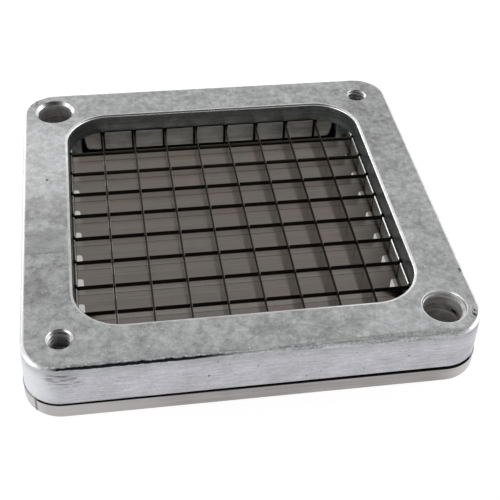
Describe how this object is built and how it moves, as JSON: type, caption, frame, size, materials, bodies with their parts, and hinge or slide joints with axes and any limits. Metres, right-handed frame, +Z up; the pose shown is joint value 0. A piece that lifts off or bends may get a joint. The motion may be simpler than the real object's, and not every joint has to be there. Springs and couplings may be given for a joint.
{
  "type": "french fry cutter blade cartridge",
  "caption": "Square blade cartridge of a lever french fry cutter: a thick frame and a base plate hold a grid of crossed blades in slotted bars.",
  "frame": {"origin": "middle of the underside of the base plate", "axes": "+Z up, from the base plate towards the cutting edges; +X to the right and +Y to the back, along the two sets of blades"},
  "size_m": [0.114, 0.114, 0.0173],
  "materials": {
    "frame": "tumbled cast aluminium on top, linished sides",
    "plate": "satin",
    "bars": "milled",
    "blades": "polished strip with a ground edge",
    "fixings": "plain"
  },
  "bodies": {
    "root": {"top_frame": "frame", "base_plate": "plate", "slotted_bar_back": "bars", "blade_rod_back": "fixings", "slotted_bar_left": "bars", "blade_rod_left": "fixings", "slotted_bar_front": "bars", "blade_rod_front": "fixings", "slotted_bar_right": "bars", "blade_rod_right": "fixings", "cross_blade_1": "blades", "cross_blade_2": "blades", "cross_blade_3": "blades", "cross_blade_4": "blades", "cross_blade_5": "blades", "cross_blade_6": "blades", "cross_blade_7": "blades", "cross_blade_8": "blades", "long_blade_1": "blades", "long_blade_2": "blades", "long_blade_3": "blades", "long_blade_4": "blades", "long_blade_5": "blades", "long_blade_6": "blades", "long_blade_7": "blades", "long_blade_8": "blades", "plate_screw_front_left": "fixings", "plate_screw_back_right": "fixings"}
  },
  "joints": []
}
